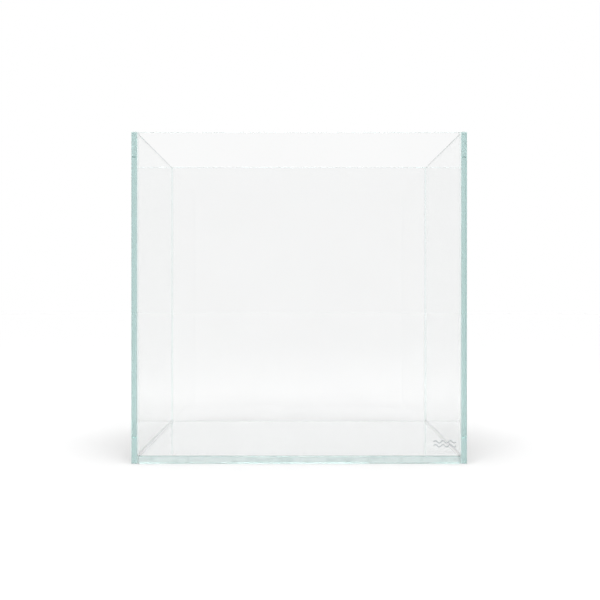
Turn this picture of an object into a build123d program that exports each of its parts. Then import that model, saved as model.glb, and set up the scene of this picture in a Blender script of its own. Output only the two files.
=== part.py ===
"""Rimless glass aquarium tank: polished glass panels, bonded and sealed with clear silicone.

The side panels run the full depth and height. The front and rear panels stand between them, and the
base panel lies inside all four walls, flush with their lower edges. Sizes are in millimetres. The
origin is the centre of the underside at floor level, +Z is up and the front panel faces -Y.
"""

from build123d import *
import os

# Driving dimensions.
WIDTH = 450.0  # outside, left to right
DEPTH = 450.0  # outside, front to rear
HEIGHT = 445.0  # floor to rim
WALL_GLASS = 8.0
BASE_GLASS = 10.0
ARRIS = 0.8  # 45 degree bevel ground on every edge of every panel
BOND = 0.5  # structural silicone between two glass faces
BEAD_LEG = 3.4  # how far a sealing bead spreads along each glass face
BEAD_THROAT = 1.2  # distance of the bead's hollow face from each glass face, at its middle

# The mark printed on the front panel: generic waves in rows.
MARK_INK = 0.1  # thickness
MARK_STROKE = 1.3
MARK_WAVE = 10.0  # length of one wave
MARK_CREST = 1.5  # height of a crest above the middle of its row
MARK_WAVES = 3  # in each row
MARK_ROWS = 2
MARK_ROW_STEP = 5.2
MARK_FROM_SIDE = 30.0  # centre of the mark, in from the right outside face
MARK_FROM_FLOOR = 27.0

# The inside faces of the walls, measured from the middle of the tank.
INNER_X = WIDTH / 2 - WALL_GLASS
INNER_Y = DEPTH / 2 - WALL_GLASS

# The way out through each wall, as X and Y. The corners are where an end meets a side.
SIDES = {"left": (-1, 0), "right": (1, 0)}
ENDS = {"front": (0, -1), "rear": (0, 1)}
WALLS = SIDES | ENDS
CORNERS = [(end, side) for end in ENDS for side in SIDES]
UP = Vector(0, 0, 1)


def glass_panel(size, centre):
    """A flat panel with the arris ground on all its edges."""
    block = Box(*size)
    return Pos(*centre) * chamfer(block.edges(), ARRIS)


def base_panel():
    size = (2 * (INNER_X - BOND), 2 * (INNER_Y - BOND), BASE_GLASS)
    return glass_panel(size, (0, 0, BASE_GLASS / 2))


def wall_panel(wall):
    """A side as deep as the tank, or a front or rear that stands between the sides."""
    out_x, out_y = WALLS[wall]
    size = (WALL_GLASS, DEPTH, HEIGHT) if wall in SIDES else (2 * (INNER_X - BOND), WALL_GLASS, HEIGHT)
    middle_x, middle_y = INNER_X + WALL_GLASS / 2, INNER_Y + WALL_GLASS / 2
    return glass_panel(size, (out_x * middle_x, out_y * middle_y, HEIGHT / 2))


def base_bond(wall):
    """The silicone strip between a wall and the edge of the base panel."""
    out_x, out_y = WALLS[wall]
    size_x = BOND if out_x else 2 * (INNER_X - BOND - ARRIS)
    size_y = BOND if out_y else 2 * (INNER_Y - BOND - ARRIS)
    strip = Box(size_x, size_y, BASE_GLASS - 2 * ARRIS)
    return Pos(out_x * (INNER_X - BOND / 2), out_y * (INNER_Y - BOND / 2), BASE_GLASS / 2) * strip


def corner_bond(end, side):
    """The silicone strip between a side panel and the upright edge of the front or rear panel."""
    out_x, out_y = SIDES[side][0], ENDS[end][1]
    strip = Box(BOND, WALL_GLASS - 2 * ARRIS, HEIGHT - 2 * ARRIS)
    return Pos(out_x * (INNER_X - BOND / 2), out_y * (INNER_Y + WALL_GLASS / 2), HEIGHT / 2) * strip


def bead_section():
    """Cross-section of a sealing bead, in the corner where one panel's edge meets another's face.

    X runs along the inside face of the panel whose edge it is, and Y along the inside face of the
    other. Below Y = 0 the bead fills the gap and the arris groove, down to the structural silicone.
    """
    groove = Polyline((0, BEAD_LEG), (0, -ARRIS), (BOND, -ARRIS), (BOND + ARRIS, 0), (BEAD_LEG, 0))
    hollow = ThreePointArc((BEAD_LEG, 0), (BEAD_THROAT, BEAD_THROAT), (0, BEAD_LEG))
    return make_face([*groove.edges(), hollow])


def base_bead(wall):
    """The sealing bead along the foot of one wall, mitred at both ends."""
    outward = Vector(*WALLS[wall])
    along = UP.cross(outward)
    foot = Vector(outward.X * INNER_X, outward.Y * INNER_Y)
    to_end = Vector(along.X * INNER_X, along.Y * INNER_Y)
    section = Plane(origin=foot + UP * BASE_GLASS, x_dir=-outward, z_dir=along) * bead_section()
    bar = extrude(section, to_end.length, dir=along, both=True)
    quarter = make_face(Polyline((0, 0, 0), foot - to_end, foot + to_end, close=True).edges())
    return bar & extrude(quarter, HEIGHT, dir=UP)


def corner_bead(end, side, base_beads):
    """The sealing bead up one corner, from the base beads to just under the rim's arris."""
    out_x, out_y = SIDES[side][0], ENDS[end][1]
    foot = (out_x * INNER_X, out_y * INNER_Y, BASE_GLASS)
    section = Plane(origin=foot, x_dir=(-out_x, 0, 0), z_dir=(0, 0, out_x * out_y)) * bead_section()
    bar = extrude(section, HEIGHT - BASE_GLASS - ARRIS, dir=UP)
    return bar - base_beads[side] - base_beads[end]


def mark_row():
    """One row of waves, drawn with one stroke about its middle line."""
    arcs = []
    for half_wave in range(2 * MARK_WAVES):
        start = (half_wave - MARK_WAVES) * MARK_WAVE / 2
        crest = MARK_CREST if half_wave % 2 == 0 else -MARK_CREST
        arcs.append(
            ThreePointArc((start, 0), (start + MARK_WAVE / 4, crest), (start + MARK_WAVE / 2, 0))
        )
    return trace(arcs, MARK_STROKE)


def printed_mark():
    """Thin ink on the outside of the front panel, low down at the right."""
    centre = (WIDTH / 2 - MARK_FROM_SIDE, -DEPTH / 2, MARK_FROM_FLOOR)
    place = Plane(origin=centre, x_dir=(1, 0, 0), z_dir=(0, -1, 0))
    rows = []
    for row in range(MARK_ROWS):
        height = (row - (MARK_ROWS - 1) / 2) * MARK_ROW_STEP
        rows += [extrude(place * Pos(0, height) * face, MARK_INK) for face in mark_row().faces()]
    return Compound(rows)


def tank():
    """Every piece of the tank, by node name."""
    pieces = {"base_panel": base_panel(), "printed_mark": printed_mark()}
    base_beads = {wall: base_bead(wall) for wall in WALLS}
    for wall in WALLS:
        pieces[f"{wall}_panel"] = wall_panel(wall)
        pieces[f"base_bond_{wall}"] = base_bond(wall)
        pieces[f"base_bead_{wall}"] = base_beads[wall]
    for end, side in CORNERS:
        pieces[f"corner_bond_{end}_{side}"] = corner_bond(end, side)
        pieces[f"corner_bead_{end}_{side}"] = corner_bead(end, side, base_beads)
    return pieces


os.makedirs("parts", exist_ok=True)
for node, piece in tank().items():
    export_step(piece, f"parts/{node}.step")
    print(node, len(piece.solids()), "solid(s),", round(piece.volume), "mm3")
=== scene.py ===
"""Looks for a rimless glass aquarium: polished low-iron panels, clear silicone and a printed mark.

Every size is in metres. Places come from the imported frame: each piece is built inside the box of the
CAD node that it replaces. The printed mark keeps its CAD shape and only gets its ink.
"""

import math
import random

import bmesh
import bpy
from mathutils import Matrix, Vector, noise


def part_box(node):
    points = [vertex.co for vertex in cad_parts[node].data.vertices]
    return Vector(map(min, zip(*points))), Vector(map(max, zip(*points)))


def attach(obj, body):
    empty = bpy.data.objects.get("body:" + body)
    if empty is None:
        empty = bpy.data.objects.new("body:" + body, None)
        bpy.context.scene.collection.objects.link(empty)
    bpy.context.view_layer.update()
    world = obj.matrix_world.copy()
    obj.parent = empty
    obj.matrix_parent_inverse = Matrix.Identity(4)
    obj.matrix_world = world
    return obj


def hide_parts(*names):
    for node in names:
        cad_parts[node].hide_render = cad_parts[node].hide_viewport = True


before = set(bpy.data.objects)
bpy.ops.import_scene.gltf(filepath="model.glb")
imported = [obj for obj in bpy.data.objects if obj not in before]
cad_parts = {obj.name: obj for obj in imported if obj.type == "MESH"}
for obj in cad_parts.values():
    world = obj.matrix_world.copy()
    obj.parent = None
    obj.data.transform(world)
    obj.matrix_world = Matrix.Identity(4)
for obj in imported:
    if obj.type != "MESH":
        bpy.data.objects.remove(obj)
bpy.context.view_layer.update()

MM = 0.001
UP = Vector((0, 0, 1))
SIDES = {"left": -1, "right": 1}
ENDS = {"front": -1, "rear": 1}

# Sizes of the design, repeated from the CAD part.
ARRIS = 0.8 * MM
BEAD_LEG = 3.4 * MM
BEAD_THROAT = 1.2 * MM
BOND = 0.5 * MM

# Detail that only shows close up.
ARRIS_ROUND = 0.12 * MM  # the grinder leaves the arris's own edges slightly round
AIR = 0.015 * MM  # between silicone and glass, so that no two faces lie in one plane
SCREEN_MESH = 0.16 * MM  # of the screen that the mark was printed through

# A sealing bead. Its swell is the part of full size that it has, and varies along it.
BEAD_FACETS = 12  # across its hollow face
BEAD_SECTIONS = 40  # along it
SWELL_MEAN = 0.96
SWELL_SLOW = 0.06
SWELL_QUICK = 0.03
SLOW_WAVES = 9
QUICK_WAVES = 37

# The bubbles of air in a structural strip.
BASE_BUBBLES = 26  # in each strip round the base
CORNER_BUBBLES = 10  # in each upright strip
BUBBLE_SEED = 4
BUBBLE_LEAST, BUBBLE_MOST = 0.25 * MM, 0.75 * MM  # radius
BUBBLE_STRETCH = 3  # at most, along the strip
BUBBLE_FLATNESS = 0.2  # radius through the strip, as a part of the strip's thickness
BUBBLE_CROWDING = 2.2  # 1 spreads them evenly, and more crowds them towards the strip's two ends
BUBBLE_SPAN = 0.98  # of the strip's length
BUBBLE_DRIFT = 0.3  # off the strip's middle line, as a part of its width


# ---------------------------------------------------------------- the walls' inside faces

left_low, left_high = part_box("left_panel")
front_low, front_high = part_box("front_panel")
INNER_X = -left_high.x
INNER_Y = -front_high.y
HEIGHT = left_high.z
BASE_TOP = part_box("base_panel")[1].z


# ---------------------------------------------------------------- materials


class Nodes:
    """A material's node tree, with short ways to add nodes and join them."""

    def __init__(self, name):
        self.material = bpy.data.materials.new(name)
        self.material.use_nodes = True
        self.tree = self.material.node_tree
        self.shader = self.tree.nodes["Principled BSDF"]
        self.output = self.tree.nodes["Material Output"]

    def add(self, kind, **settings):
        node = self.tree.nodes.new(kind)
        for name, value in settings.items():
            setattr(node, name, value)
        return node

    def put(self, socket, value):
        """Sets a socket to a number or colour, or joins another socket to it."""
        if isinstance(value, bpy.types.NodeSocket):
            self.tree.links.new(value, socket)
        else:
            socket.default_value = value

    def set(self, **values):
        """Sets the Principled shader's sockets, by name with _ for each space."""
        for name, value in values.items():
            self.put(self.shader.inputs[name.replace("_", " ")], value)

    def maths(self, operation, a, b=0.0):
        node = self.add("ShaderNodeMath", operation=operation)
        self.put(node.inputs[0], a)
        self.put(node.inputs[1], b)
        return node.outputs[0]

    def vector(self, operation, a, b):
        """Vector maths. b is a number for SCALE, and a vector for the rest."""
        node = self.add("ShaderNodeVectorMath", operation=operation)
        self.put(node.inputs[0], a)
        self.put(node.inputs["Scale" if operation == "SCALE" else 1], b)
        return node.outputs["Value" if operation in ("DOT_PRODUCT", "DISTANCE") else "Vector"]

    def spread(self, value, low, high, to_low, to_high):
        """Maps low..high to to_low..to_high, and no further."""
        node = self.add("ShaderNodeMapRange")
        limits = {"From Min": low, "From Max": high, "To Min": to_low, "To Max": to_high}
        for name, limit in limits.items():
            self.put(node.inputs[name], limit)
        self.put(node.inputs["Value"], value)
        return node.outputs["Result"]

    def mix(self, factor, a, b):
        """Colour a where the factor is 0, and b where it is 1."""
        node = self.add("ShaderNodeMix", data_type="RGBA")
        # Several of this node's sockets share the names A, B and Result, so colour's go by number.
        self.put(node.inputs["Factor"], factor)
        self.put(node.inputs[6], a)
        self.put(node.inputs[7], b)
        return node.outputs[2]

    def position(self):
        return self.add("ShaderNodeTexCoord").outputs["Object"]

    def attribute(self, name, output="Fac"):
        return self.add("ShaderNodeAttribute", attribute_name=name).outputs[output]

    def outside(self):
        """1 where a face is met from outside the piece, 0 from inside."""
        return self.maths("SUBTRACT", 1, self.add("ShaderNodeNewGeometry").outputs["Backfacing"])

    def noise(self, place, size, detail=3.0, rough=0.5):
        """Noise whose features are about size metres across."""
        node = self.add("ShaderNodeTexNoise")
        self.put(node.inputs["Vector"], place)
        self.put(node.inputs["Scale"], 1 / size)
        self.put(node.inputs["Detail"], detail)
        self.put(node.inputs["Roughness"], rough)
        return node.outputs["Fac"]

    def bump(self, height, depth, strength):
        """A normal from a height of 0 to 1 that stands for depth metres."""
        node = self.add("ShaderNodeBump")
        self.put(node.inputs["Strength"], strength)
        self.put(node.inputs["Distance"], depth)
        self.put(node.inputs["Height"], height)
        return node.outputs["Normal"]

    def along(self, place, direction, stretch):
        """A place squeezed along a direction, so that noise read there is stretched that way."""
        run = self.vector("DOT_PRODUCT", place, direction)
        shift = self.vector("SCALE", direction, self.maths("MULTIPLY", run, 1 / stretch - 1))
        return self.vector("ADD", place, shift)


def glass_material():
    """Low-iron glass: clear through the faces, and blue-green the long way, out of its edges.

    The panel's "edge" faces carry a fine grain along their length, and its "bare_arris" faces are
    frosted. The frost counts only from outside: from inside the glass it would show as black specks.
    """
    n = Nodes("low_iron_glass")
    place = n.position()
    edge = n.attribute("edge")
    grain = n.noise(n.along(place, n.attribute("run", "Vector"), stretch=60), size=0.35 * MM)
    haze = n.noise(place, size=90 * MM, detail=4, rough=0.6)
    face_colour = n.mix(n.spread(haze, 0.35, 0.7, 0, 1), (0.966, 0.964, 0.964, 1), (0.957, 0.955, 0.955, 1))
    edge_colour = n.mix(grain, (0.95, 0.98, 0.975, 1), (0.98, 0.995, 0.99, 1))
    ground = n.maths("MULTIPLY", n.attribute("bare_arris"), n.outside())
    polish = n.maths("MULTIPLY", edge, n.spread(grain, 0.3, 0.8, 0.0, 0.02))
    frost = n.maths("MULTIPLY", ground, n.spread(grain, 0.2, 0.8, 0.1, 0.2))
    n.set(
        Base_Color=n.mix(edge, face_colour, edge_colour),
        Roughness=n.maths("ADD", polish, n.maths("MULTIPLY", ground, 0.3)),
        Transmission_Weight=n.maths("SUBTRACT", 1, frost),
        IOR=1.52,
        Normal=n.bump(n.maths("MULTIPLY", edge, grain), depth=0.01 * MM, strength=0.01),
    )
    absorb = n.add("ShaderNodeVolumeAbsorption")
    n.put(absorb.inputs["Color"], (0.604, 0.76, 0.748, 1))
    n.put(absorb.inputs["Density"], 4.0)
    n.put(n.output.inputs["Volume"], absorb.outputs["Volume"])
    return n.material


def silicone(name, clear, milky, grain_size, index):
    """Cured clear silicone: a soft gloss, with the drag marks of the tool along it.

    Real silicone wets the glass and almost disappears. Here a thin air gap is left between the two,
    so the index is set well below silicone's own to keep the seams as faint. Returns the nodes, and
    a cloudy pattern for what a material adds.
    """
    n = Nodes(name)
    place = n.position()
    drag = n.noise(n.along(place, n.attribute("run", "Vector"), stretch=25), grain_size)
    cloud = n.noise(place, size=14 * MM)
    n.set(
        Base_Color=n.mix(n.spread(cloud, 0.3, 0.7, 0, 1), clear, milky),
        Roughness=n.spread(drag, 0.3, 0.7, 0.02, 0.04),
        Transmission_Weight=1.0,
        IOR=index,
        Normal=n.bump(drag, depth=0.05 * MM, strength=0.1),
    )
    return n, cloud


def sealing_material():
    """The silicone of the beads."""
    clear, milky = (0.975, 0.975, 0.975, 1), (0.99, 0.99, 0.99, 1)
    n, _ = silicone("sealing_silicone", clear, milky, grain_size=0.8 * MM, index=1.05)
    return n.material


def bonding_material():
    """The silicone of the structural strips. Faces marked "outer" are milky, seen from outside."""
    clear, milky = (0.865, 0.985, 0.97, 1), (0.905, 1, 0.99, 1)
    n, cloud = silicone("bonding_silicone", clear, milky, grain_size=0.5 * MM, index=1.15)
    seen = n.maths("MULTIPLY", n.attribute("outer"), n.outside())
    white = n.maths("MULTIPLY", seen, n.spread(cloud, 0.3, 0.7, 0.8, 1.2))
    n.set(Transmission_Weight=n.maths("SUBTRACT", 1, white))
    return n.material


def ink_material():
    """Screen-printed grey ink: matt, a little worn, with the mesh of the screen just visible."""
    n = Nodes("printed_ink")
    place = n.position()
    mesh = n.add("ShaderNodeTexVoronoi", feature="F1")
    n.put(mesh.inputs["Vector"], place)
    n.put(mesh.inputs["Scale"], 1 / SCREEN_MESH)
    wear = n.noise(place, size=1.2 * MM, detail=4)
    n.set(
        Base_Color=n.mix(n.spread(wear, 0.45, 0.7, 0, 1), (0.30, 0.32, 0.33, 1), (0.42, 0.44, 0.45, 1)),
        Roughness=n.spread(wear, 0.3, 0.7, 0.45, 0.6),
        Normal=n.bump(mesh.outputs["Distance"], depth=0.02 * MM, strength=0.4),
    )
    return n.material


# ---------------------------------------------------------------- mesh helpers


def add_piece(name, bm, material, node, skin_faces=None):
    """Turns a bmesh into a piece that rides on the tank and replaces one CAD node.

    Faces past the first skin_faces are the walls of hollows inside the piece, and face into them.
    """
    bmesh.ops.recalc_face_normals(bm, faces=bm.faces)
    bm.faces.ensure_lookup_table()
    bmesh.ops.reverse_faces(bm, faces=bm.faces[skin_faces or len(bm.faces):])
    mesh = bpy.data.meshes.new(name)
    bm.to_mesh(mesh)
    bm.free()
    mesh.materials.append(material)
    piece = bpy.data.objects.new(name, mesh)
    bpy.context.scene.collection.objects.link(piece)
    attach(piece, "root")
    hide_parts(node)


def box_mesh(low, high):
    bm = bmesh.new()
    bmesh.ops.create_cube(bm, size=1)
    size, middle = high - low, (low + high) / 2
    for vert in bm.verts:
        vert.co = middle + Vector(c * s for c, s in zip(vert.co, size))
    return bm


def unit_vector(axis):
    vector = Vector((0, 0, 0))
    vector[axis] = 1
    return vector


def mark_run(bm, direction):
    """Stores on each face the direction that its grain runs in."""
    layer = bm.faces.layers.float_vector.new("run")
    for face in bm.faces:
        face[layer] = direction(face)


# ---------------------------------------------------------------- glass


def is_bare(face):
    """Whether a glass face is on the tank's outside, clear of the silicone."""
    middle = face.calc_center_median()
    outer = max(abs(middle.x) / -left_low.x, abs(middle.y) / -front_low.y)
    return outer > 0.99 or middle.z > HEIGHT - ARRIS or middle.z < ARRIS


def glass_panel(node, material):
    """A panel with its arris ground on all edges, and the arris's own edges slightly rounded."""
    low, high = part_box(node)
    size = high - low
    thin = min(range(3), key=lambda axis: size[axis])
    bm = box_mesh(low, high)
    for offset, segments in ((ARRIS, 1), (ARRIS_ROUND, 2)):
        bmesh.ops.bevel(bm, geom=bm.edges[:], offset=offset, offset_type="OFFSET", segments=segments,
                        profile=0.5, affect="EDGES", clamp_overlap=True)
    bm.normal_update()
    edge = bm.faces.layers.float.new("edge")
    bare_arris = bm.faces.layers.float.new("bare_arris")
    for face in bm.faces:
        is_pane = abs(face.normal[thin]) > 0.99
        is_sloping = max(abs(c) for c in face.normal) < 0.9
        face[edge] = float(not is_pane)
        face[bare_arris] = float(is_sloping and is_bare(face))

    def grain(face):
        wide = [axis for axis in range(3) if axis != thin]
        return unit_vector(min(wide, key=lambda axis: abs(face.normal[axis])))

    mark_run(bm, grain)
    add_piece(f"{node}_glass", bm, material, node)


# ---------------------------------------------------------------- sealing silicone


def bead_face(distance):
    """How far a bead's hollow face stands from one glass face, at a distance along it from the corner."""
    leg, throat = BEAD_LEG, BEAD_THROAT
    # A circle through (leg, 0), (throat, throat) and (0, leg), with its centre on the diagonal.
    centre = (2 * throat**2 - leg**2) / (2 * (2 * throat - leg))
    radius = math.hypot(leg - centre, centre)
    return centre - math.sqrt(max(radius**2 - (distance - centre) ** 2, 0))


def bead_profile(swell):
    """Cross-section points, as distances from the two glass faces, for a bead swell times full size.

    The hollow face comes first, and then the groove that the bead fills between the two panels.
    """
    steps = [i / BEAD_FACETS for i in range(BEAD_FACETS + 1)]
    hollow = [BEAD_LEG * (1 - math.sin(step * math.pi / 2)) for step in steps]
    face = [(max(x * swell, AIR), max(bead_face(x) * swell, AIR)) for x in hollow]
    return face + [(AIR, -ARRIS), (BOND, -ARRIS), (BOND + ARRIS, AIR)]


def bead_swell(t, seed):
    """A bead's size at t, from 0 to 1 along it, never past full."""
    slow = noise.noise(Vector((seed, t * SLOW_WAVES, 0)))
    quick = noise.noise(Vector((t * QUICK_WAVES, seed, 0)))
    return min(SWELL_MEAN + SWELL_SLOW * slow + SWELL_QUICK * quick, 1)


def bead(node, material, place, seed):
    """A bead swept through its sections. place(x, y, t) puts a profile point at t, from 0 to 1."""
    bm = bmesh.new()
    rings = []
    for section in range(BEAD_SECTIONS + 1):
        t = section / BEAD_SECTIONS
        rings.append([bm.verts.new(place(x, y, t)) for x, y in bead_profile(bead_swell(t, seed))])
    for first, second in zip(rings, rings[1:]):
        for i in range(len(first)):
            j = (i + 1) % len(first)
            bm.faces.new((first[i], first[j], second[j], second[i]))
    bm.faces.new(rings[0])
    bm.faces.new(reversed(rings[-1]))
    along = (rings[-1][0].co - rings[0][0].co).normalized()
    mark_run(bm, lambda face: along)
    add_piece(f"{node}_silicone", bm, material, node)


def base_bead(wall, material, seed):
    """Along the foot of a wall, mitred into the beads at both ends."""
    outward = Vector((SIDES.get(wall, 0), ENDS.get(wall, 0), 0))
    along = UP.cross(outward)
    foot = Vector((outward.x * INNER_X, outward.y * INNER_Y, BASE_TOP))
    reach = abs(along.x) * INNER_X + abs(along.y) * INNER_Y

    def place(x, y, t):
        end = reach - max(x, AIR)
        return foot - outward * x + UP * y + along * end * (2 * t - 1)

    bead(f"base_bead_{wall}", material, place, seed)


def corner_bead(end, side, material, seed):
    """Up a corner, from the hollow faces of the base beads to just under the rim's arris."""
    foot = Vector((SIDES[side] * INNER_X, ENDS[end] * INNER_Y, BASE_TOP))
    top = HEIGHT - BASE_TOP - ARRIS

    def place(x, y, t):
        start = bead_face(max(min(x, y), 0)) + AIR
        return foot + Vector((-SIDES[side] * x, -ENDS[end] * y, start + (top - start) * t))

    bead(f"corner_bead_{end}_{side}", material, place, seed)


# ---------------------------------------------------------------- structural silicone


def add_bubble(bm, low, high, thin, long, rng):
    """A flattened bubble. Most are near the strip's two ends, which were pressed together last."""
    size = high - low
    centre = (low + high) / 2
    from_end = rng.random() ** BUBBLE_CROWDING / 2
    centre[long] += rng.choice((-1, 1)) * (0.5 - from_end) * size[long] * BUBBLE_SPAN
    radii = Vector(rng.uniform(BUBBLE_LEAST, BUBBLE_MOST) for _ in range(3))
    radii[thin] = size[thin] * BUBBLE_FLATNESS
    radii[long] *= rng.uniform(1, BUBBLE_STRETCH)
    across = 3 - thin - long
    centre[across] += rng.uniform(-BUBBLE_DRIFT, BUBBLE_DRIFT) * size[across]
    made = bmesh.ops.create_icosphere(bm, subdivisions=2, radius=1)
    for vert in made["verts"]:
        vert.co = centre + Vector(c * r for c, r in zip(vert.co, radii))


def bond_strip(node, material, bubbles, rng):
    """A thin strip between two glass edges, with a few bubbles of air caught in it.

    Round the base, the strip's outward face and its two ends are marked "outer".
    """
    low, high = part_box(node)
    gap = Vector((AIR, AIR, AIR))
    bm = box_mesh(low + gap, high - gap)
    size = high - low
    thin, long = (pick(range(3), key=lambda axis: size[axis]) for pick in (min, max))
    skin_faces = len(bm.faces)
    for _ in range(bubbles):
        add_bubble(bm, low, high, thin, long, rng)
    along = unit_vector(long)
    mark_run(bm, lambda face: along)
    bm.normal_update()
    outer = bm.faces.layers.float.new("outer")
    middle = (low + high) / 2
    bm.faces.ensure_lookup_table()
    for face in bm.faces[:skin_faces]:
        is_outward = face.normal[thin] * middle[thin] > 0  # the tank's own middle is at 0
        is_end = abs(face.normal[long]) > 0.9
        face[outer] = float(node.startswith("base") and (is_outward or is_end))
    add_piece(f"{node}_silicone", bm, material, node, skin_faces)


# ---------------------------------------------------------------- the tank


def build_tank():
    rng = random.Random(BUBBLE_SEED)
    glass = glass_material()
    bonding = bonding_material()
    sealing = sealing_material()
    for node in ("base_panel", "front_panel", "rear_panel", "left_panel", "right_panel"):
        glass_panel(node, glass)
    # Each bead has a seed of its own, so that no two swell alike.
    for number, wall in enumerate((*SIDES, *ENDS)):
        base_bead(wall, sealing, number * 7.3)
        bond_strip(f"base_bond_{wall}", bonding, BASE_BUBBLES, rng)
    for end in ENDS:
        for side in SIDES:
            corner_bead(end, side, sealing, 40 + 5 * ENDS[end] + 11 * SIDES[side])
            bond_strip(f"corner_bond_{end}_{side}", bonding, CORNER_BUBBLES, rng)
    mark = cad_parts["printed_mark"]
    mark.data.materials.clear()
    mark.data.materials.append(ink_material())


# ---------------------------------------------------------------- floor, light and camera

FLOOR_RADIUS = 12
FLOOR_DROP = 0.5 * MM  # below the tank, so that the two don't share a plane
FRONT_GLOW = (0, -0.64, 0.77)  # the way to the middle of the glow, 50 degrees up
CAMERA_DISTANCE = 1.578  # from the front panel
WHITE = (1, 1, 1, 1)


def build_floor():
    """A plain white floor, lit a little from below so that it runs into the white background.

    It glows more under the tank and just at its back: painted light on the floor, which lifts the tank's
    shadow where it is seen through the glass.
    """
    n = Nodes("studio_floor")
    place = n.position()
    # A glow over the whole floor, a little weaker near the tank: painted shade that deepens the tank's
    # shadow at its sides, and brighter far off so the floor runs into the background.
    glow_dimmer_near_tank = n.spread(
        n.vector("DISTANCE", place, (0, 0, 0)), low=0.4, high=2.2, to_low=0.30, to_high=0.342
    )
    # Painted light: a pool of glow on the floor at the tank's back, where its shadow falls.
    painted_glow_at_back = n.spread(
        n.vector("DISTANCE", place, (0, 0.25, 0)), low=0.05, high=0.4, to_low=0.14, to_high=0
    )
    axes = n.add("ShaderNodeSeparateXYZ")
    n.put(axes.inputs[0], place)
    off_centre = n.maths("MAXIMUM", *(n.maths("ABSOLUTE", axes.outputs[axis]) for axis in ("X", "Y")))
    # Painted light: a glow on the floor under the tank, lifting the shade that is seen there through the
    # base.
    painted_glow_under_tank = n.spread(off_centre, low=INNER_X, high=-left_low.x, to_low=0.32, to_high=0)
    n.set(
        Base_Color=(0.46, 0.46, 0.46, 1),
        Roughness=0.9,
        Specular_IOR_Level=0.1,
        Emission_Color=WHITE,
        Emission_Strength=n.maths("ADD", glow_dimmer_near_tank, n.maths("MAXIMUM", painted_glow_under_tank, painted_glow_at_back)),
    )
    mesh = bpy.data.meshes.new("studio_floor")
    bm = bmesh.new()
    bmesh.ops.create_circle(bm, cap_ends=True, segments=96, radius=FLOOR_RADIUS)
    bm.to_mesh(mesh)
    bm.free()
    mesh.materials.append(n.material)
    floor = bpy.data.objects.new("studio_floor", mesh)
    floor.location.z = -FLOOR_DROP
    bpy.context.scene.collection.objects.link(floor)


def build_room():
    """A white room, a little dimmer overhead, with a soft glow high up in front of the tank."""
    world = bpy.data.worlds.new("studio")
    bpy.context.scene.world = world
    world.use_nodes = True
    nodes, links = world.node_tree.nodes, world.node_tree.links
    ray = nodes.new("ShaderNodeTexCoord")

    def glow(direction, start, full, low, high):
        """A strength that goes from low to high as a ray turns towards a direction."""
        towards = nodes.new("ShaderNodeVectorMath")
        towards.operation = "DOT_PRODUCT"
        towards.inputs[1].default_value = Vector(direction).normalized()
        links.new(ray.outputs["Generated"], towards.inputs[0])
        fade = nodes.new("ShaderNodeMapRange")
        fade.interpolation_type = "SMOOTHSTEP"
        limits = {"From Min": start, "From Max": full, "To Min": low, "To Max": high}
        for name, limit in limits.items():
            fade.inputs[name].default_value = limit
        links.new(towards.outputs["Value"], fade.inputs["Value"])
        return fade.outputs["Result"]

    total = nodes.new("ShaderNodeMath")
    links.new(glow(UP, start=0.25, full=0.95, low=1.0, high=0.8), total.inputs[0])
    links.new(glow(FRONT_GLOW, start=0.8, full=0.97, low=0.0, high=3.15), total.inputs[1])
    links.new(total.outputs[0], nodes["Background"].inputs["Strength"])
    nodes["Background"].inputs["Color"].default_value = WHITE


def build_softbox():
    """A long softbox over the tank, hidden from the camera and from reflections."""
    lamp = bpy.data.lights.new("overhead_softbox", "AREA")
    lamp.shape = "RECTANGLE"
    lamp.size, lamp.size_y = 0.35, 2.6
    lamp.energy = 12.0
    softbox = bpy.data.objects.new("overhead_softbox", lamp)
    softbox.location = (0, -0.4, 1.5)
    softbox.visible_camera = False
    softbox.visible_glossy = False
    bpy.context.scene.collection.objects.link(softbox)


def build_camera():
    """Square on to the front, a little above the middle of the tank's height."""
    data = bpy.data.cameras.new("camera")
    data.sensor_width = 36
    data.lens = 70.7
    data.shift_x = 0.0045
    data.shift_y = -0.0108
    camera = bpy.data.objects.new("camera", data)
    camera.location = (-0.0025, front_low.y - CAMERA_DISTANCE, 0.2283)
    camera.rotation_euler = (math.pi / 2, 0, 0)
    bpy.context.scene.collection.objects.link(camera)
    bpy.context.scene.camera = camera


def set_looks():
    """Colours as they are lit, and enough bounces for light to run the length of a panel."""
    scene = bpy.context.scene
    scene.view_settings.view_transform = "Standard"
    bounces = 40
    scene.cycles.max_bounces = bounces
    scene.cycles.transmission_bounces = bounces
    scene.cycles.glossy_bounces = bounces
    # Without this, a diffuse face that is met through the glass stays black.
    scene.cycles.caustics_reflective = True


build_camera()
build_tank()
build_floor()
build_room()
build_softbox()
set_looks()
